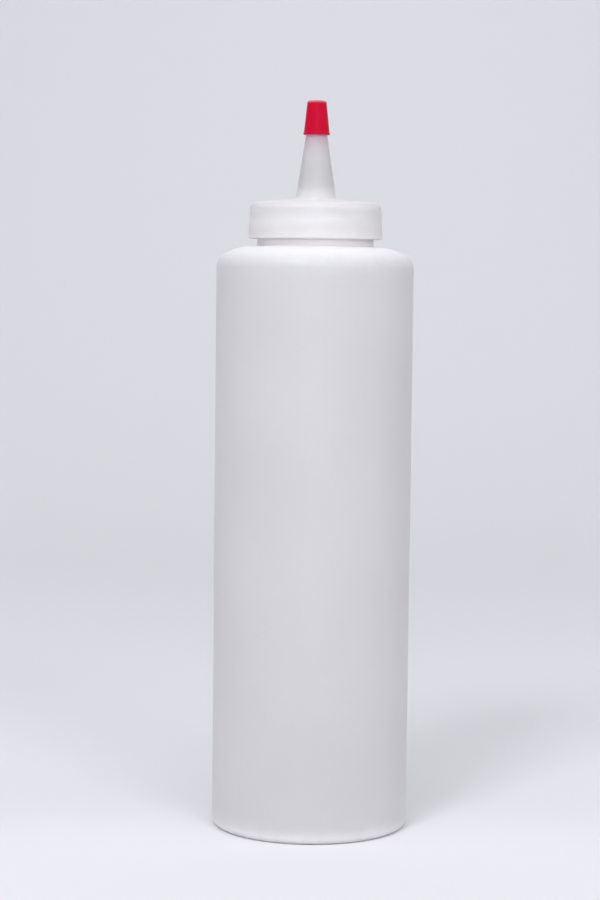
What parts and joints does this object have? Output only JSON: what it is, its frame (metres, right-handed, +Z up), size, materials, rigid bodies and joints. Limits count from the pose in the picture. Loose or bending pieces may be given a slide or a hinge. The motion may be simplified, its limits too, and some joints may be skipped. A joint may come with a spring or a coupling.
{
  "type": "glue applicator bottle",
  "caption": "Translucent squeeze bottle with a screw-on cap that carries a long hollow spout, and a small push-on cap that closes the spout's tip.",
  "frame": {"origin": "middle of the foot, on the surface that the bottle stands on", "axes": "+Z up along the bottle's axis, from the foot towards the spout's tip; the neck's thread starts behind, 60 degrees from +X towards +Y"},
  "size_m": [0.059, 0.059, 0.2181],
  "materials": {
    "milky_polyethylene": "satin, milky and translucent",
    "white_polyethylene": "satin, slightly translucent, clearer along the spout",
    "liner_foam": "dull white closed-cell foam",
    "red_polyethylene": "satin red"
  },
  "bodies": {
    "bottle": {"bottle": "milky_polyethylene"},
    "liner": {"cap_liner": "liner_foam"},
    "cap": {"spout_cap": "white_polyethylene"},
    "tip": {"tip_cap": "red_polyethylene"}
  },
  "joints": [
    {"name": "cap_lift", "type": "slide", "parent": "bottle", "child": "liner", "axis": [0, 0, 1], "range_m": [0, 0.0036]},
    {"name": "cap_turn", "type": "hinge", "parent": "liner", "child": "cap", "pos_m": [0, 0, 0.185], "axis": [0, 0, 1], "range_deg": [0, 300]},
    {"name": "tip_pull", "type": "slide", "parent": "cap", "child": "tip", "axis": [0, 0, 1], "range_m": [0, 0.015]}
  ],
  "couplings": [
    {"joint": "cap_lift", "follows": "cap_turn", "m_per_rad": 0.0006737}
  ]
}
